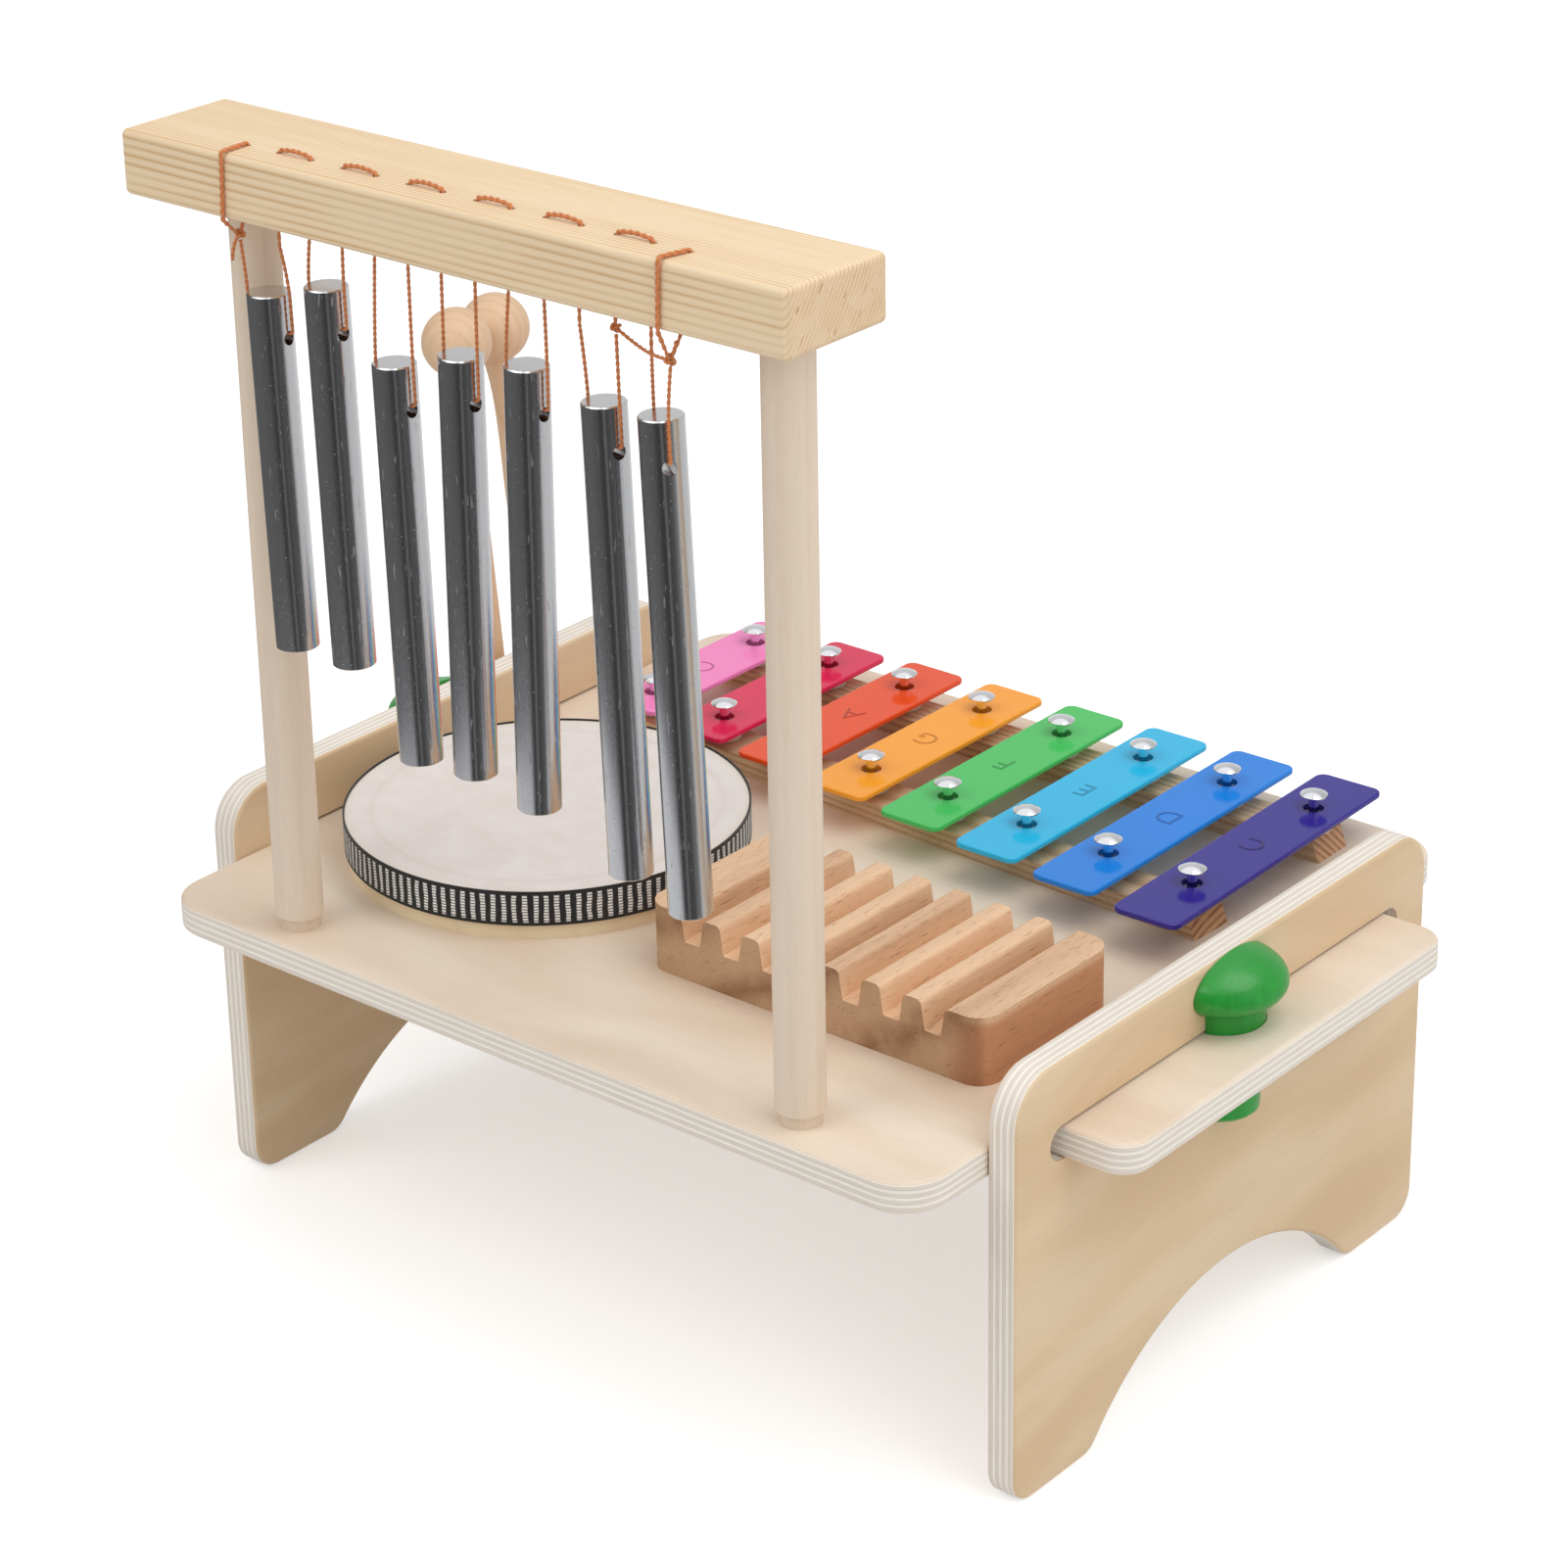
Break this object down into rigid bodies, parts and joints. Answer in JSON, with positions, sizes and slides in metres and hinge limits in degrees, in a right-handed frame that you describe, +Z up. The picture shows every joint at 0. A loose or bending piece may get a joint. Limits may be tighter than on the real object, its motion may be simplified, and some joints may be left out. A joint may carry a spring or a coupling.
{
  "type": "wooden percussion table",
  "caption": "Low plywood table with a rack of hanging metal chimes, a small drum, a ridged guiro block, a coloured metal xylophone and two wooden mallets.",
  "frame": {"origin": "middle of the overall box on the floor, between the feet of the two side panels", "axes": "+X along the table towards the longest xylophone bar, +Y from the chime rack towards the xylophone, +Z up"},
  "size_m": [0.434, 0.3362, 0.4407],
  "materials": {
    "birch_plywood": "sanded birch plywood with visible edge plies",
    "green_painted_wood": "satin green paint on turned wood",
    "beech_dowel": "smooth pale dowel",
    "pine_board": "planed pine with straight grain",
    "twisted_cord": "twisted orange-brown cord",
    "aluminium_rod": "polished rod",
    "drum_hoop_wood": "plain bent hoop",
    "drum_skin": "stretched off-white skin",
    "striped_trim": "woven band with narrow black and white stripes",
    "guiro_hardwood": "pinkish-brown hardwood with dark streaks",
    "rail_hardwood": "plain brown hardwood",
    "mallet_beech": "pale turned beech",
    "nail_chrome": "polished dome heads",
    "grommet_rubber": "pale rubber",
    "screw_steel": "plain zinc-plated screws",
    "light_pink_enamel": "glossy enamel",
    "crimson_enamel": "glossy enamel",
    "red_orange_enamel": "glossy enamel",
    "orange_enamel": "glossy enamel",
    "green_enamel": "glossy enamel",
    "cyan_enamel": "glossy enamel",
    "blue_enamel": "glossy enamel",
    "indigo_enamel": "glossy enamel"
  },
  "bodies": {
    "table": {"deck": "birch_plywood", "left_side_panel": "birch_plywood", "right_side_panel": "birch_plywood", "left_post": "beech_dowel", "right_post": "beech_dowel", "chime_beam": "pine_board", "beam_lacing": "twisted_cord", "drum_shell": "drum_hoop_wood", "drum_head": "drum_skin", "drum_trim_band": "striped_trim", "guiro_block": "guiro_hardwood", "front_rail": "rail_hardwood", "rear_rail": "rail_hardwood", "front_bar_nails": "nail_chrome", "rear_bar_nails": "nail_chrome", "bar_grommets": "grommet_rubber", "rail_screws": "screw_steel", "guiro_screws": "screw_steel", "drum_screws": "screw_steel"},
    "chime_1_cord": {"chime_cord_1": "twisted_cord"},
    "chime_1_bar": {"chime_bar_1": "aluminium_rod"},
    "chime_2_cord": {"chime_cord_2": "twisted_cord"},
    "chime_2_bar": {"chime_bar_2": "aluminium_rod"},
    "chime_3_cord": {"chime_cord_3": "twisted_cord"},
    "chime_3_bar": {"chime_bar_3": "aluminium_rod"},
    "chime_4_cord": {"chime_cord_4": "twisted_cord"},
    "chime_4_bar": {"chime_bar_4": "aluminium_rod"},
    "chime_5_cord": {"chime_cord_5": "twisted_cord"},
    "chime_5_bar": {"chime_bar_5": "aluminium_rod"},
    "chime_6_cord": {"chime_cord_6": "twisted_cord"},
    "chime_6_bar": {"chime_bar_6": "aluminium_rod"},
    "chime_7_cord": {"chime_cord_7": "twisted_cord"},
    "chime_7_bar": {"chime_bar_7": "aluminium_rod"},
    "left_peg": {"left_locking_peg": "green_painted_wood"},
    "right_peg": {"right_locking_peg": "green_painted_wood"},
    "mallet_1": {"mallet_1": "mallet_beech"},
    "mallet_2": {"mallet_2": "mallet_beech"},
    "xylophone_bar_1": {"xylophone_bar_1": "light_pink_enamel"},
    "xylophone_bar_2": {"xylophone_bar_2": "crimson_enamel"},
    "xylophone_bar_3": {"xylophone_bar_3": "red_orange_enamel"},
    "xylophone_bar_4": {"xylophone_bar_4": "orange_enamel"},
    "xylophone_bar_5": {"xylophone_bar_5": "green_enamel"},
    "xylophone_bar_6": {"xylophone_bar_6": "cyan_enamel"},
    "xylophone_bar_7": {"xylophone_bar_7": "blue_enamel"},
    "xylophone_bar_8": {"xylophone_bar_8": "indigo_enamel"}
  },
  "joints": [
    {"name": "chime_1_swing", "type": "hinge", "parent": "table", "child": "chime_1_cord", "pos_m": [-0.09935, -0.1602, 0.40635], "axis": [0.9827, 0.1854, 0], "range_deg": [-15, 25]},
    {"name": "chime_1_tilt", "type": "hinge", "parent": "chime_1_cord", "child": "chime_1_bar", "pos_m": [-0.09799, -0.1587, 0.37515], "axis": [0.9899, 0.1392, 0.0259], "range_deg": [-10, 20]},
    {"name": "chime_2_swing", "type": "hinge", "parent": "table", "child": "chime_2_cord", "pos_m": [-0.06875, -0.1587, 0.41465], "axis": [1, 0, 0], "range_deg": [-25, 25]},
    {"name": "chime_2_tilt", "type": "hinge", "parent": "chime_2_cord", "child": "chime_2_bar", "pos_m": [-0.06979, -0.1587, 0.38285], "axis": [0.9973, -0.0698, 0.0218], "range_deg": [-20, 20]},
    {"name": "chime_3_swing", "type": "hinge", "parent": "table", "child": "chime_3_cord", "pos_m": [-0.03855, -0.1587, 0.41465], "axis": [1, 0, 0], "range_deg": [-25, 25]},
    {"name": "chime_3_tilt", "type": "hinge", "parent": "chime_3_cord", "child": "chime_3_bar", "pos_m": [-0.03959, -0.1587, 0.36205], "axis": [0.9991, -0.0349, 0.0223], "range_deg": [-20, 20]},
    {"name": "chime_4_swing", "type": "hinge", "parent": "table", "child": "chime_4_cord", "pos_m": [-0.00835, -0.1587, 0.41465], "axis": [1, 0, 0], "range_deg": [-25, 25]},
    {"name": "chime_4_tilt", "type": "hinge", "parent": "chime_4_cord", "child": "chime_4_bar", "pos_m": [-0.00913, -0.1587, 0.37115], "axis": [0.9876, -0.1565, -0.0129], "range_deg": [-20, 20]},
    {"name": "chime_5_swing", "type": "hinge", "parent": "table", "child": "chime_5_cord", "pos_m": [0.02185, -0.1587, 0.41465], "axis": [1, 0, 0], "range_deg": [-25, 25]},
    {"name": "chime_5_tilt", "type": "hinge", "parent": "chime_5_cord", "child": "chime_5_bar", "pos_m": [0.02038, -0.1587, 0.37395], "axis": [0.9999, 0, -0.015], "range_deg": [-20, 20]},
    {"name": "chime_6_swing", "type": "hinge", "parent": "table", "child": "chime_6_cord", "pos_m": [0.05225, -0.1587, 0.40615], "axis": [1, 0, 0], "range_deg": [-25, 25]},
    {"name": "chime_6_tilt", "type": "hinge", "parent": "chime_6_cord", "child": "chime_6_bar", "pos_m": [0.0542, -0.1587, 0.36865], "axis": [0.9698, -0.242, 0.03], "range_deg": [-20, 20]},
    {"name": "chime_7_swing", "type": "hinge", "parent": "table", "child": "chime_7_cord", "pos_m": [0.0808, -0.1612, 0.40235], "axis": [0.9253, -0.3792, 0], "range_deg": [-10, 25]},
    {"name": "chime_7_tilt", "type": "hinge", "parent": "chime_7_cord", "child": "chime_7_bar", "pos_m": [0.07848, -0.1587, 0.36925], "axis": [0.8281, -0.5595, 0.0335], "range_deg": [-6, 20]},
    {"name": "left_peg_lift", "type": "slide", "parent": "table", "child": "left_peg", "axis": [0, 0, 1], "range_m": [0, 0.04]},
    {"name": "right_peg_lift", "type": "slide", "parent": "table", "child": "right_peg", "axis": [0, 0, 1], "range_m": [0, 0.04]},
    {"name": "mallet_1_lift", "type": "slide", "parent": "table", "child": "mallet_1", "axis": [0.0208, -0.1193, 0.9926], "range_m": [0, 0.035]},
    {"name": "mallet_2_lift", "type": "slide", "parent": "table", "child": "mallet_2", "axis": [-0.0163, -0.0907, 0.9957], "range_m": [0, 0.035]},
    {"name": "xylophone_bar_1_rattle", "type": "slide", "parent": "table", "child": "xylophone_bar_1", "axis": [0, 0, 1], "range_m": [0, 0.005]},
    {"name": "xylophone_bar_2_rattle", "type": "slide", "parent": "table", "child": "xylophone_bar_2", "axis": [0, 0, 1], "range_m": [0, 0.005]},
    {"name": "xylophone_bar_3_rattle", "type": "slide", "parent": "table", "child": "xylophone_bar_3", "axis": [0, 0, 1], "range_m": [0, 0.005]},
    {"name": "xylophone_bar_4_rattle", "type": "slide", "parent": "table", "child": "xylophone_bar_4", "axis": [0, 0, 1], "range_m": [0, 0.005]},
    {"name": "xylophone_bar_5_rattle", "type": "slide", "parent": "table", "child": "xylophone_bar_5", "axis": [0, 0, 1], "range_m": [0, 0.005]},
    {"name": "xylophone_bar_6_rattle", "type": "slide", "parent": "table", "child": "xylophone_bar_6", "axis": [0, 0, 1], "range_m": [0, 0.005]},
    {"name": "xylophone_bar_7_rattle", "type": "slide", "parent": "table", "child": "xylophone_bar_7", "axis": [0, 0, 1], "range_m": [0, 0.005]},
    {"name": "xylophone_bar_8_rattle", "type": "slide", "parent": "table", "child": "xylophone_bar_8", "axis": [0, 0, 1], "range_m": [0, 0.005]}
  ]
}
